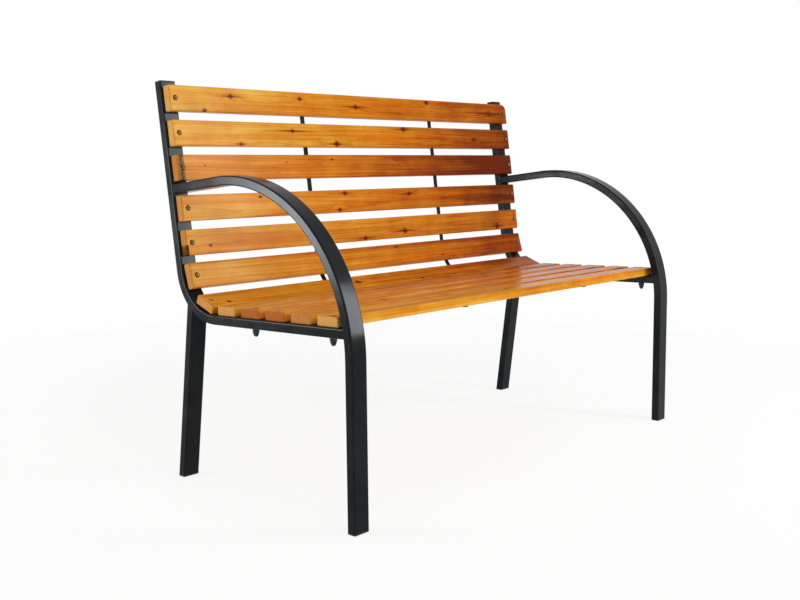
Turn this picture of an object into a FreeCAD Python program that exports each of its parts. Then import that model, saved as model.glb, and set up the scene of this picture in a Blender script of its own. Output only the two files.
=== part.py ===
# Outdoor bench with a slatted back and two curved arms.
#
# Two identical welded side frames of flat rectangular tube carry six back slats and six
# seat slats. Each frame is three tubes: one bent tube runs from the top of the back down
# into the seat rail, a second runs from the front foot up and over as the armrest, and a
# short raked leg stands under the bend. Two thin flat straps tie the slats together
# between the frames. Units are millimetres, +Z up, the front faces -Y, and the origin is
# on the ground in the middle of the bench.
import FreeCAD, Part
import math
import os
import re

import Sketcher

V = FreeCAD.Vector
X_AXIS = V(1, 0, 0)
Y_AXIS = V(0, 1, 0)
Z_AXIS = V(0, 0, 1)
NO_TURN = FreeCAD.Rotation()

DIMENSIONS = [
    # overall
    ("overall_length", 1210, "outer face to outer face of the side frames"),
    ("overall_depth", 600, "front foot to the top of the back"),
    ("overall_height", 856, "ground to the top of the back tubes"),
    # rectangular tube of the side frames
    ("tube_width", 40, "across the bench"),
    ("tube_depth", 20, "in the plane of the frame"),
    ("tube_wall", 1.5, "wall thickness"),
    ("tube_corner", 3, "outside corner radius"),
    ("bore_corner", 1.5, "inside corner radius"),
    # back and seat tube
    ("back_angle", 9.3, "lean of the back from upright, degrees"),
    ("seat_angle", 2.75, "rise of the seat towards the front, degrees"),
    ("bend_radius", 109, "centre line radius between back and seat"),
    ("seat_height", 397, "ground to the seat surface, middle of the seat"),
    # rear leg
    ("rear_leg_angle", 6, "splay of the rear leg, degrees"),
    ("rear_foot_inset", 60, "rear foot in from the rearmost point"),
    # arm and front leg tube
    ("front_leg_angle", 1.66, "lean of the front leg, degrees"),
    ("arm_angle", 8.1, "rise of the arm towards the front, degrees"),
    ("arm_radius", 334, "centre line radius from arm to front leg"),
    # slats
    ("slat_width", 55, "planed width"),
    ("slat_thickness", 20, "planed thickness"),
    ("slat_edge", 2.5, "rounding of the slat edges"),
    ("slat_inset", 5, "slat end in from the outer face of the frame"),
    ("slat_gap", 19, "between neighbouring slats, less where a row is short of room"),
    ("arm_gap", 31, "between back slats 3 and 4, where the arm joins"),
    ("top_margin", 12.5, "top of the back tube to the first slat"),
    ("bend_gap", 21, "between the rear seat slat, in the bend, and the next"),
    ("least_gap", 3, "least gap in a row of slats and at its end"),
    ("low_slat_tilt", 17.5, "lean of the lowest back slat in the bend, degrees"),
    ("rear_slat_tilt", 20, "tilt of the rear seat slat in the bend, degrees"),
    ("corner_round", 19, "rounded top corner of the first back slat"),
    # middle straps
    ("strap_width", 12, "flat bar width"),
    ("strap_thickness", 3, "flat bar thickness"),
    ("left_strap_offset", 204, "left strap from the middle of the bench"),
    ("right_strap_offset", 268, "right strap from the middle of the bench"),
    ("strap_margin", 8, "strap end in from the edge of the last slat"),
    # plastic inserts
    ("cap_rim", 3, "thickness of the top cap"),
    ("cap_edge", 1.2, "rounding of the top cap"),
    ("plug_rim", 3, "thickness of the foot plug"),
    ("plug_depth", 16, "length of an insert inside the tube"),
    ("plug_wall", 2, "wall of an insert"),
    ("plug_clearance", 0.2, "insert to the inside of the tube"),
    # wafer head screws, slat to frame
    ("screw_head", 11.5, "head diameter"),
    ("screw_rise", 2.4, "head height"),
    ("screw_lip", 0.8, "thickness of the head at its rim"),
    ("screw_shank", 4.2, "shank diameter"),
    ("screw_length", 30, "under the head to the tip"),
    ("screw_point", 4, "length of the tapered tip"),
    # wood screws, strap to slat
    ("tack_head", 8, "head diameter"),
    ("tack_rise", 1.8, "head height"),
    ("tack_shank", 3.5, "shank diameter"),
    ("tack_length", 16, "under the head to the tip"),
    ("hole_clearance", 0.4, "hole diameter over shank diameter"),
    ("hole_spare", 2, "depth of a blind hole past the tip"),
    # through bolts of seat slats 3 and 6
    ("bolt_shank", 8, "bolt diameter"),
    ("bolt_head", 16, "head diameter"),
    ("bolt_rise", 4, "head height"),
    ("washer_width", 16, "washer diameter"),
    ("washer_thickness", 1.6, "washer thickness"),
    ("nut_flats", 13, "cap nut across its flats"),
    ("nut_base", 7, "height of the hexagon"),
    ("nut_height", 17, "height with the dome"),
    ("nut_thread", 11, "bolt inside the nut"),
]

SLATS_OVER_ARM = 3
STRAIGHT_SLATS = 5  # in each row beside the one in the bend, or more where they fit
SPARE = 60.0  # how far trimming tools and raw ends run past the finished part

doc = FreeCAD.newDocument("bench")
sheet = doc.addObject("Spreadsheet::Sheet", "Dims")
aliases = []


def enter(alias, number, note):
    """Put a named value into the sheet."""
    aliases.append(alias)
    row = len(aliases)
    sheet.set(f"A{row}", alias)
    sheet.set(f"B{row}", str(number))
    sheet.set(f"C{row}", note)
    sheet.setAlias(f"B{row}", alias)


for alias, number, note in DIMENSIONS:
    enter(alias, number, note)
doc.recompute()


def size(text):
    """The present value of an expression written with the sheet's names."""
    result = sheet.evalExpression(text)
    return float(getattr(result, "Value", result))


def bind(target, prop, text):
    """Drive a property by an expression written with the sheet's names."""
    names = r"\b(" + "|".join(aliases) + r")\b"
    target.setExpression(prop, re.sub(names, r"Dims.\1", text))


# ---------------------------------------------------------------- side frame geometry
# Points and directions in the plane of a side frame are (y, z) pairs.


def move(point, direction, distance):
    return (point[0] + direction[0] * distance, point[1] + direction[1] * distance)


def crossing(p, d, q, e):
    """Where the line through p along d meets the line through q along e."""
    det = d[0] * e[1] - d[1] * e[0]
    along = ((q[0] - p[0]) * e[1] - (q[1] - p[1]) * e[0]) / det
    return move(p, d, along)


def along(direction, point, origin):
    """How far a point lies from an origin along a direction."""
    return (point[0] - origin[0]) * direction[0] + (point[1] - origin[1]) * direction[1]


def heading(degrees):
    turn = math.radians(degrees)
    return (math.cos(turn), math.sin(turn))


def bend_centre(p, d, q, e, radius):
    """Centre of the arc that joins two lines, on the side of the left hand of d and e."""
    return crossing(move(p, (-d[1], d[0]), radius), d, move(q, (-e[1], e[0]), radius), e)


half_depth = size("tube_depth") / 2
up_back = heading(90 - size("back_angle"))  # along the back tube, upwards
out_of_back = heading(180 - size("back_angle"))  # square to the back, towards the sitter
down_seat = heading(-size("seat_angle"))  # along the seat rail, towards the back
out_of_seat = heading(90 - size("seat_angle"))  # square to the seat, upwards

BACK_TOP_Y = "overall_depth / 2 - tube_depth / 2 * cos(back_angle * 1 deg)"
BACK_TOP_Z = "overall_height - tube_depth / 2 * sin(back_angle * 1 deg)"
STEEL_TOP_Y = f"{BACK_TOP_Y} - cap_rim * sin(back_angle * 1 deg)"
STEEL_TOP_Z = f"{BACK_TOP_Z} - cap_rim * cos(back_angle * 1 deg)"
RAIL_Z = "seat_height - (slat_thickness + tube_depth / 2) / cos(seat_angle * 1 deg)"
ARM_DROP = (
    f"top_margin + {SLATS_OVER_ARM} * (slat_width + back_gap) - back_gap + arm_gap / 2"
)
ARM_JOINT_Y = (
    f"{BACK_TOP_Y} - ({ARM_DROP}) * sin(back_angle * 1 deg)"
    " - tube_depth / 2 * cos(back_angle * 1 deg)"
)
ARM_JOINT_Z = (
    f"{BACK_TOP_Z} - ({ARM_DROP}) * cos(back_angle * 1 deg)"
    " + tube_depth / 2 * sin(back_angle * 1 deg)"
)
FRONT_FOOT_Y = "-overall_depth / 2 + tube_depth / 2 / cos(front_leg_angle * 1 deg)"
REAR_FOOT_Y = (
    "overall_depth / 2 - rear_foot_inset - tube_depth / 2 / cos(rear_leg_angle * 1 deg)"
)

back_top = (size(BACK_TOP_Y), size(BACK_TOP_Z))
rail_middle = (0.0, size(RAIL_Z))
seat_bend = bend_centre(rail_middle, down_seat, back_top, up_back, size("bend_radius"))


def on_back(distance):
    """A point on the front face of the back tube, measured down from its top."""
    return move(move(back_top, up_back, -distance), out_of_back, half_depth)


def down_from_top(point):
    """How far a point lies below the top of the back tube, measured along it."""
    return -along(up_back, point, back_top)


def on_seat(distance):
    """A point on the top face of the seat rail, measured forwards from mid bench."""
    return move(move(rail_middle, out_of_seat, half_depth), down_seat, -distance)


def forward_on_seat(point):
    """How far a point lies in front of mid bench, measured along the rail."""
    return -along(down_seat, point, rail_middle)


def seated_in_bend(degrees):
    """Seat of a slat turned by an angle whose two rounded edges rest in the bend.

    A seat is a point under the middle of a slat, the slat's angle and the hollow that the
    bend leaves between that point and the bar.
    """
    bend = size("bend_radius - tube_depth / 2")
    half = size("slat_width / 2 - slat_edge")
    drop = size("slat_edge") + math.sqrt((bend - size("slat_edge")) ** 2 - half**2)
    return move(seat_bend, heading(degrees - 90), drop), degrees, bend - drop


def slat_edge_point(seat, side):
    """The edge of a slat's underside, on the far side (+1) or the near side (-1)."""
    return move(seat[0], heading(seat[1]), side * size("slat_width") / 2)


def share_out(room, arm_room=0.0):
    """How many slats a straight run gets, and the gap between them.

    arm_room is one gap that keeps its own width. The others have the usual gap. Where
    the run is short of room they narrow to the least gap before it holds fewer slats.
    """
    free = room - size("least_gap") - arm_room
    more_slats_than_gaps = 2 if arm_room else 1

    def holds(gap):
        return int((free + more_slats_than_gaps * gap) // (size("slat_width") + gap))

    count = max(holds(size("slat_gap")), min(STRAIGHT_SLATS, holds(size("least_gap"))))
    spare = free - count * size("slat_width")
    return count, min(size("slat_gap"), spare / (count - more_slats_than_gaps))


low_back_seat = seated_in_bend(90 - size("low_slat_tilt"))
back_room = down_from_top(slat_edge_point(low_back_seat, 1)) - size("top_margin")
back_count, back_gap = share_out(back_room, size("arm_gap"))
enter("back_gap", back_gap, "between the slats of the back, worked out above")
doc.recompute()

arm_joint = (size(ARM_JOINT_Y), size(ARM_JOINT_Z))
arm_forward = heading(180 - size("arm_angle"))
leg_up = heading(90 - size("front_leg_angle"))
front_foot = (size(FRONT_FOOT_Y), 0.0)
# Seen with the arm running backwards and the leg running down, the bend is on the right.
arm_bend = bend_centre(
    arm_joint, arm_forward, front_foot, (-leg_up[0], -leg_up[1]), size("arm_radius")
)


def leg_y(z, inwards=0.0):
    """The y of the front leg at a height: its centre line, or a line behind that."""
    arc_start = move(arm_bend, (-leg_up[1], leg_up[0]), size("arm_radius"))
    if z < arc_start[1]:
        return front_foot[0] + z * leg_up[0] / leg_up[1] + inwards / leg_up[1]
    radius = size("arm_radius") - inwards
    return arm_bend[0] - math.sqrt(radius**2 - (z - arm_bend[1]) ** 2)


def rail_meets_leg():
    """Where the centre line of the rail meets the centre line of the leg."""
    z = rail_middle[1]
    for _ in range(20):
        z = rail_middle[1] - leg_y(z) * math.tan(math.radians(size("seat_angle")))
    return (leg_y(z), z)


def back_row():
    """Seats of the back slats from the top, the last one in the bend."""
    seats = []
    for i in range(back_count):
        drop = size("top_margin + slat_width / 2") + i * size("slat_width + back_gap")
        if i >= SLATS_OVER_ARM:
            drop += size("arm_gap - back_gap")
        seats.append((on_back(drop), 90 - size("back_angle"), 0.0))
    return seats + [low_back_seat]


def seat_row():
    """Seats of the seat slats from the back, the first one in the bend."""
    rear = seated_in_bend(size("rear_slat_tilt"))
    start = forward_on_seat(slat_edge_point(rear, -1)) + size("bend_gap")
    slat_top = rail_meets_leg()[1] + half_depth + size("slat_thickness")
    leg_face = (leg_y(slat_top, inwards=half_depth), slat_top)
    count, gap = share_out(forward_on_seat(leg_face) - start)
    seats = [rear]
    for i in range(count):
        run = start + size("slat_width / 2") + i * (size("slat_width") + gap)
        seats.append((on_seat(run), -size("seat_angle"), 0.0))
    return seats


back_seats = back_row()
seat_seats = seat_row()
bolted_seats = [seat_seats[2], seat_seats[-1]]
screwed_seats = [seat for seat in seat_seats if seat not in bolted_seats]

# ---------------------------------------------------------------- sketches and features


def new_body(name):
    return doc.addObject("PartDesign::Body", name)


def new_sketch(body, role, name):
    """A sketch on one of the body's own origin planes."""
    plane = [item for item in body.Origin.OriginFeatures if item.Role == role][0]
    sketch = body.newObject("Sketcher::SketchObject", name)
    sketch.AttachmentSupport = [(plane, "")]
    sketch.MapMode = "FlatFace"
    return sketch


def drive(sketch, kind, *args, text):
    """Add a dimension to a sketch and bind it to the sheet."""
    number = size(text)
    if number < 0:
        text = f"-({text})"
        number = -number
    if kind == "Angle":
        number = math.radians(number)
        text = f"({text}) * 1 deg"
    index = sketch.addConstraint(Sketcher.Constraint(kind, *args, number))
    bind(sketch, f"Constraints[{index}]", text)


def pin(sketch, element, end, x_text, y_text):
    """Fix a point of a sketch at two expressions from the sketch's origin."""
    for kind, axis, text in (("DistanceX", -2, x_text), ("DistanceY", -1, y_text)):
        if text == "0":
            sketch.addConstraint(Sketcher.Constraint("PointOnObject", element, end, axis))
        elif size(text) > 0:
            drive(sketch, kind, -1, 1, element, end, text=text)
        else:
            drive(sketch, kind, element, end, -1, 1, text=text)


def polygon(sketch, corners):
    """A closed outline whose corners are pairs of expressions."""
    points = [V(size(x), size(y), 0) for x, y in corners]
    count = len(points)
    for i in range(count):
        sketch.addGeometry(Part.LineSegment(points[i], points[(i + 1) % count]))
    for i in range(count):
        sketch.addConstraint(Sketcher.Constraint("Coincident", i, 2, (i + 1) % count, 1))
    for i, (x, y) in enumerate(corners):
        pin(sketch, i, 1, x, y)


def rounded_rectangle(sketch, width, depth, radius):
    """A rectangle about the sketch's origin with four equal rounded corners."""
    w, d, r = size(width) / 2, size(depth) / 2, size(radius)
    sides = [
        (V(-w + r, -d, 0), V(w - r, -d, 0)),
        (V(w, -d + r, 0), V(w, d - r, 0)),
        (V(w - r, d, 0), V(-w + r, d, 0)),
        (V(-w, d - r, 0), V(-w, -d + r, 0)),
    ]
    centres = [(w - r, -d + r), (w - r, d - r), (-w + r, d - r), (-w + r, -d + r)]
    for start, end in sides:
        sketch.addGeometry(Part.LineSegment(start, end))
    for i, (x, y) in enumerate(centres):
        circle = Part.Circle(V(x, y, 0), Z_AXIS, r)
        turn = math.radians(90 * i - 90)
        sketch.addGeometry(Part.ArcOfCircle(circle, turn, turn + math.pi / 2))
    for i in range(4):
        kind = "Horizontal" if i % 2 == 0 else "Vertical"
        sketch.addConstraint(Sketcher.Constraint(kind, i))
        sketch.addConstraint(Sketcher.Constraint("Tangent", i, 2, 4 + i, 1))
        sketch.addConstraint(Sketcher.Constraint("Tangent", 4 + i, 2, (i + 1) % 4, 1))
    for i in (5, 6, 7):
        sketch.addConstraint(Sketcher.Constraint("Equal", 4, i))
    drive(sketch, "Radius", 4, text=radius)
    drive(sketch, "DistanceY", 0, 1, -1, 1, text=f"({depth}) / 2")
    drive(sketch, "DistanceX", -1, 1, 1, 1, text=f"({width}) / 2")
    drive(sketch, "DistanceY", -1, 1, 2, 1, text=f"({depth}) / 2")
    drive(sketch, "DistanceX", 3, 1, -1, 1, text=f"({width}) / 2")


def pad(body, sketch, text, backwards=False):
    feature = body.newObject("PartDesign::Pad", sketch.Name + "_pad")
    feature.Profile = sketch
    feature.Reversed = backwards
    feature.Length = size(text)
    bind(feature, "Length", text)
    doc.recompute()
    return feature


def pocket(body, sketch, text=None, backwards=False):
    """Cut a sketch to a depth, or right through where no depth is given."""
    feature = body.newObject("PartDesign::Pocket", sketch.Name + "_pocket")
    feature.Profile = sketch
    feature.Reversed = backwards
    if text is None:
        feature.Type = "ThroughAll"
    else:
        feature.Length = size(text)
        bind(feature, "Length", text)
    before = body.Shape.Volume
    doc.recompute()
    if body.Shape.Volume > before - 0.01:
        raise RuntimeError(f"{feature.Name} cuts nothing")
    return feature


def section_at(body, name, width, depth, radius, y, z, tilt):
    """A tube section across a side frame, at a point and turned by a lean."""
    sketch = new_sketch(body, "XY_Plane", name)
    turn = FreeCAD.Rotation(X_AXIS, size(tilt))
    sketch.AttachmentOffset = FreeCAD.Placement(V(0, size(y), size(z)), turn)
    bind(sketch, "AttachmentOffset.Base.y", y)
    bind(sketch, "AttachmentOffset.Base.z", z)
    bind(sketch, "AttachmentOffset.Rotation.Angle", tilt)
    rounded_rectangle(sketch, width, depth, radius)
    return sketch


def bent_path(body, name, start, start_angle, end, end_angle, radius):
    """A straight run, a bend and a second straight run in the plane of a side frame.

    start and end are pairs of expressions. The angles are expressions for the slopes of
    the two runs, between 0 and 180 degrees.
    """
    sketch = new_sketch(body, "YZ_Plane", name)
    first = (size(start[0]), size(start[1]))
    last = (size(end[0]), size(end[1]))
    slopes = (heading(size(start_angle)), heading(size(end_angle)))
    corner = crossing(first, slopes[0], last, slopes[1])
    outward = []
    for point in (first, last):
        length = math.dist(point, corner)
        outward.append(((point[0] - corner[0]) / length, (point[1] - corner[1]) / length))
    cosine = outward[0][0] * outward[1][0] + outward[0][1] * outward[1][1]
    half = math.acos(cosine) / 2
    reach = size(radius) / math.tan(half)
    tangents = [move(corner, direction, reach) for direction in outward]
    bisector = (outward[0][0] + outward[1][0], outward[0][1] + outward[1][1])
    length = math.hypot(*bisector)
    to_centre = (bisector[0] / length, bisector[1] / length)
    centre = move(corner, to_centre, size(radius) / math.sin(half))
    turns = [math.atan2(t[1] - centre[1], t[0] - centre[0]) for t in tangents]
    arc_ends = [1, 2]
    if (turns[1] - turns[0]) % (2 * math.pi) > math.pi:
        turns.reverse()
        arc_ends.reverse()
    circle = Part.Circle(V(centre[0], centre[1], 0), Z_AXIS, size(radius))
    sketch.addGeometry(Part.ArcOfCircle(circle, turns[0], turns[1]))
    for i, point in enumerate((first, last)):
        inner, outer = V(*tangents[i], 0), V(*point, 0)
        rises = outer.y > inner.y
        ends = (inner, outer) if rises else (outer, inner)
        sketch.addGeometry(Part.LineSegment(*ends))
        line, inner_end, outer_end = i + 1, 1 if rises else 2, 2 if rises else 1
        sketch.addConstraint(
            Sketcher.Constraint("Tangent", line, inner_end, 0, arc_ends[i])
        )
        drive(sketch, "Angle", line, text=(start_angle, end_angle)[i])
        pin(sketch, line, outer_end, *(start, end)[i])
    drive(sketch, "Radius", 0, text=radius)
    return sketch


def swept(name, section, start, start_angle, end, end_angle, radius, tilt):
    """A solid bar of a section that follows a bent path."""
    body = new_body(name)
    path = bent_path(body, name + "_path", start, start_angle, end, end_angle, radius)
    profile = section_at(body, name + "_section", *section, *start, tilt)
    doc.recompute()
    pipe = body.newObject("PartDesign::AdditivePipe", name + "_pipe")
    pipe.Profile = profile
    pipe.Spine = (path, ["Edge1", "Edge2", "Edge3"])
    doc.recompute()
    return body


def straight(name, section, y, tilt):
    """A solid bar that stands at a foot, from below the ground upwards."""
    body = new_body(name)
    z = str(-SPARE)
    y = f"{y} + {SPARE} * tan(({tilt}) * 1 deg)"
    sketch = section_at(body, name + "_section", *section, y, z, tilt)
    pad(body, sketch, f"seat_height + {SPARE}")
    return body


OUTSIDE = ("tube_width", "tube_depth", "tube_corner")
BORE = ("tube_width - 2 * tube_wall", "tube_depth - 2 * tube_wall", "bore_corner")
SKIRT = (
    "tube_width - 2 * (tube_wall + plug_clearance)",
    "tube_depth - 2 * (tube_wall + plug_clearance)",
    "bore_corner",
)
SKIRT_HOLLOW = (
    "tube_width - 2 * (tube_wall + plug_clearance + plug_wall)",
    "tube_depth - 2 * (tube_wall + plug_clearance + plug_wall)",
    "bore_corner / 2",
)


def cut(name, base, tool):
    result = doc.addObject("Part::Cut", name)
    result.Base = base
    result.Tool = tool
    doc.recompute()
    return result


def common(name, base, tool):
    result = doc.addObject("Part::Common", name)
    result.Base = base
    result.Tool = tool
    doc.recompute()
    return result


def slab(name, low, high):
    """A wide level block between two heights."""
    box = doc.addObject("Part::Box", name)
    box.Length = size("overall_length") + 2 * SPARE
    box.Width = size("overall_depth") + 2 * SPARE
    bind(box, "Length", f"overall_length + {2 * SPARE}")
    bind(box, "Width", f"overall_depth + {2 * SPARE}")
    bind(box, "Height", f"({high}) - ({low})")
    bind(box, "Placement.Base.x", f"-overall_length / 2 - {SPARE}")
    bind(box, "Placement.Base.y", f"-overall_depth / 2 - {SPARE}")
    bind(box, "Placement.Base.z", low)
    doc.recompute()
    return box


# ---------------------------------------------------------------- fasteners, one of each
# A fastener stands on the plane z = 0 of its own frame with its shank pointing down.


def turned(name, corners):
    """A part turned about Z from a half outline of (radius, height) expressions."""
    body = new_body(name)
    sketch = new_sketch(body, "XZ_Plane", name + "_outline")
    polygon(sketch, corners)
    feature = body.newObject("PartDesign::Revolution", name + "_turn")
    feature.Profile = sketch
    feature.ReferenceAxis = (sketch, ["V_Axis"])
    feature.Angle = 360
    doc.recompute()
    return body


def make_screw():
    return turned(
        "screw_master",
        [
            ("0", "screw_rise"),
            ("screw_head * 0.3", "screw_rise"),
            ("screw_head / 2", "screw_lip"),
            ("screw_head / 2", "0"),
            ("screw_shank / 2", "0"),
            ("screw_shank / 2", "screw_point - screw_length"),
            ("0", "-screw_length"),
        ],
    )


def make_tack():
    return turned(
        "tack_master",
        [
            ("0", "tack_rise"),
            ("tack_head * 0.35", "tack_rise"),
            ("tack_head / 2", "tack_rise / 3"),
            ("tack_head / 2", "0"),
            ("tack_shank / 2", "0"),
            ("tack_shank / 2", "-tack_length"),
            ("0", "-tack_length"),
        ],
    )


BOLT_GRIP = "slat_thickness + tube_depth"


def make_bolt():
    tip = f"-({BOLT_GRIP} + washer_thickness + nut_thread)"
    return turned(
        "bolt_master",
        [
            ("0", "bolt_rise"),
            ("bolt_head * 0.3", "bolt_rise * 0.85"),
            ("bolt_head / 2", "bolt_rise * 0.25"),
            ("bolt_head / 2", "0"),
            ("bolt_shank / 2", "0"),
            ("bolt_shank / 2", tip),
            ("0", tip),
        ],
    )


def make_washer():
    return turned(
        "washer_master",
        [
            ("(bolt_shank + hole_clearance) / 2", "0"),
            ("washer_width / 2", "0"),
            ("washer_width / 2", "-washer_thickness"),
            ("(bolt_shank + hole_clearance) / 2", "-washer_thickness"),
        ],
    )


def make_cap_nut():
    """A hexagon with a dome below it and a blind thread hole from above."""
    nut = turned(
        "nut_master",
        [
            ("0", "0"),
            ("nut_flats / 2", "0"),
            ("nut_flats / 2", "-nut_base"),
            ("nut_flats * 0.44", "-nut_base - (nut_height - nut_base) * 0.45"),
            ("nut_flats * 0.28", "-nut_base - (nut_height - nut_base) * 0.85"),
            ("0", "-nut_height"),
        ],
    )
    hexagon = nut.newObject("PartDesign::AdditivePrism", "nut_hexagon")
    hexagon.Polygon = 6
    bind(hexagon, "Circumradius", "nut_flats / sqrt(3)")
    bind(hexagon, "Height", "nut_base")
    bind(hexagon, "Placement.Base.z", "-nut_base")
    doc.recompute()
    thread = round_holes(nut, "nut_thread_hole", "bolt_shank", [("0", "0")])
    pocket(nut, thread, "nut_thread + 1")
    return nut


def make_drill(name, diameter, depth):
    """A plain cylinder that drills the hole for a fastener, from the plane z = 0 down."""
    drill = doc.addObject("Part::Cylinder", name)
    bind(drill, "Radius", f"({diameter}) / 2")
    bind(drill, "Height", depth)
    bind(drill, "Placement.Base.z", f"-({depth})")
    doc.recompute()
    return drill


def round_holes(body, name, diameter, spots):
    """Circles of one diameter at spots given as pairs of expressions."""
    sketch = new_sketch(body, "XY_Plane", name)
    for i, (x, y) in enumerate(spots):
        centre = V(size(x), size(y), 0)
        sketch.addGeometry(Part.Circle(centre, Z_AXIS, size(diameter) / 2))
        pin(sketch, i, 3, x, y)
        drive(sketch, "Diameter", i, text=diameter)
    doc.recompute()
    return sketch


def copies(name, master, placements):
    """Copies of one fastener, or of its drill, as separate solids in one object."""
    group = doc.addObject("Part::Feature", name)
    solids = []
    for placement in placements:
        shape = master.Shape.copy()
        shape.Placement = placement.multiply(shape.Placement)
        solids.append(shape)
    group.Shape = Part.makeCompound(solids)
    return group


# ---------------------------------------------------------------- where things sit


def lying(seat, outward):
    """A frame above or below a seat, with its own Z square to the slat."""
    point, degrees, _ = seat
    turn = FreeCAD.Rotation(X_AXIS, degrees)
    base = V(0, point[0], point[1]) + turn.multVec(V(0, 0, outward))
    return FreeCAD.Placement(base, turn)


def on_faces(seats):
    """Fastener frames on the outer faces of slats."""
    return [lying(seat, size("slat_thickness")) for seat in seats]


def under_rail(seats):
    """Fastener frames on the underside of the rail below slats."""
    return [lying(seat, -size("tube_depth")) for seat in seats]


def behind_strap(seats):
    """Fastener frames on the rear face of a strap, with Z pointing away from the slat."""
    flip = FreeCAD.Placement(V(0, 0, 0), FreeCAD.Rotation(X_AXIS, 180))
    thickness = size("strap_thickness")
    return [lying(seat, -thickness - seat[2]).multiply(flip) for seat in seats]


SIDE_X = "overall_length / 2 - tube_width / 2"
SIDES = (("left", f"-({SIDE_X})"), ("right", SIDE_X))
STRAPS = (("left", "-left_strap_offset"), ("right", "right_strap_offset"))
parts = []


def finish(node, label, x=None):
    """Name a finished sub-part and, where x is given, move it out along the bench."""
    if x is not None:
        bind(node, "Placement.Base.x", x)
        doc.recompute()
    node.Label = label
    parts.append(node)


def finish_group(name, master, placements, x):
    group = copies(name + "_group", master, placements)
    group.Placement = FreeCAD.Placement(V(size(x), 0, 0), FreeCAD.Rotation())
    finish(group, name)


# ---------------------------------------------------------------- slats


def slat_outline(sketch, rounded_corner):
    """The slat seen from its face; the first back slat has one rounded corner."""
    half_length = "overall_length / 2 - slat_inset"
    half_width = "slat_width / 2"
    if not rounded_corner:
        polygon(
            sketch,
            [
                (f"-({half_length})", f"-({half_width})"),
                (half_length, f"-({half_width})"),
                (half_length, half_width),
                (f"-({half_length})", half_width),
            ],
        )
        return
    x, y, r = size(half_length), size(half_width), size("corner_round")
    points = [V(-x, -y, 0), V(x, -y, 0), V(x, y - r, 0), V(x - r, y, 0), V(-x, y, 0)]
    for start, end in ((0, 1), (1, 2), (3, 4), (4, 0)):
        sketch.addGeometry(Part.LineSegment(points[start], points[end]))
    circle = Part.Circle(V(x - r, y - r, 0), Z_AXIS, r)
    sketch.addGeometry(Part.ArcOfCircle(circle, 0, math.pi / 2))
    for first, second in ((0, 1), (2, 3), (3, 0)):
        sketch.addConstraint(Sketcher.Constraint("Coincident", first, 2, second, 1))
    sketch.addConstraint(Sketcher.Constraint("Tangent", 1, 2, 4, 1))
    sketch.addConstraint(Sketcher.Constraint("Tangent", 4, 2, 2, 1))
    sketch.addConstraint(Sketcher.Constraint("Vertical", 1))
    sketch.addConstraint(Sketcher.Constraint("Horizontal", 2))
    pin(sketch, 0, 1, f"-({half_length})", f"-({half_width})")
    pin(sketch, 0, 2, half_length, f"-({half_width})")
    pin(sketch, 2, 2, f"-({half_length})", half_width)
    drive(sketch, "Radius", 4, text="corner_round")


def make_slat(name, seat, bolted, rounded_corner):
    """A planed board with rounded edges, drilled for its screws or bolts."""
    body = new_body(name)
    outline = new_sketch(body, "XY_Plane", name + "_outline")
    slat_outline(outline, rounded_corner)
    board = pad(body, outline, "slat_thickness")
    level = []
    for index, edge in enumerate(board.Shape.Edges, start=1):
        if abs(edge.BoundBox.ZLength) < 0.001:
            level.append(f"Edge{index}")
    rounding = body.newObject("PartDesign::Fillet", name + "_rounding")
    rounding.Base = (board, level)
    bind(rounding, "Radius", "slat_edge")
    doc.recompute()
    shank = "bolt_shank" if bolted else "screw_shank"
    ends = [(x, "0") for _, x in SIDES]
    holes = round_holes(body, name + "_holes", f"{shank} + hole_clearance", ends)
    pocket(body, holes, backwards=True)
    spots = [(x, "0") for _, x in STRAPS]
    pilots = round_holes(body, name + "_pilots", "tack_shank", spots)
    pocket(body, pilots, "tack_length - strap_thickness + hole_spare", backwards=True)
    body.Placement = lying(seat, 0)
    doc.recompute()
    finish(body, name)


def make_slats():
    for number, seat in enumerate(back_seats, start=1):
        make_slat(f"back_slat_{number}", seat, False, rounded_corner=number == 1)
    for number, seat in enumerate(seat_seats, start=1):
        make_slat(f"seat_slat_{number}", seat, seat in bolted_seats, rounded_corner=False)


# ---------------------------------------------------------------- side frames
# Each piece of a side frame is worked out about x = 0. Its last step is made once for
# each side and moved out there.


def finish_sides(kind, name, base, tool):
    """The last cut or join of a piece, once for each side."""
    for side, x in SIDES:
        node = doc.addObject(kind, f"{side}_{name}_part")
        node.Base = base
        node.Tool = tool
        finish(node, f"{side}_{name}", x)


def behind_back_face():
    """A block whose front face is the front face of the back tube."""
    box = doc.addObject("Part::Box", "back_keepout")
    bind(box, "Length", f"tube_width + {SPARE}")
    bind(box, "Width", f"tube_depth + {SPARE}")
    bind(box, "Height", f"4 * {SPARE}")
    corner = move(arm_joint, up_back, -2 * SPARE)
    turn = FreeCAD.Rotation(X_AXIS, -size("back_angle"))
    base = V(-size("tube_width") / 2 - SPARE / 2, *corner)
    box.Placement = FreeCAD.Placement(base, turn)
    doc.recompute()
    return box


def inside_bend():
    """A disc that fills the seat bend out to its centre line."""
    disc = doc.addObject("Part::Cylinder", "bend_keepout")
    bind(disc, "Radius", "bend_radius")
    bind(disc, "Height", f"tube_width + {SPARE}")
    base = V(-size("tube_width") / 2 - SPARE / 2, *seat_bend)
    disc.Placement = FreeCAD.Placement(base, FreeCAD.Rotation(Y_AXIS, 90))
    doc.recompute()
    return disc


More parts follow.
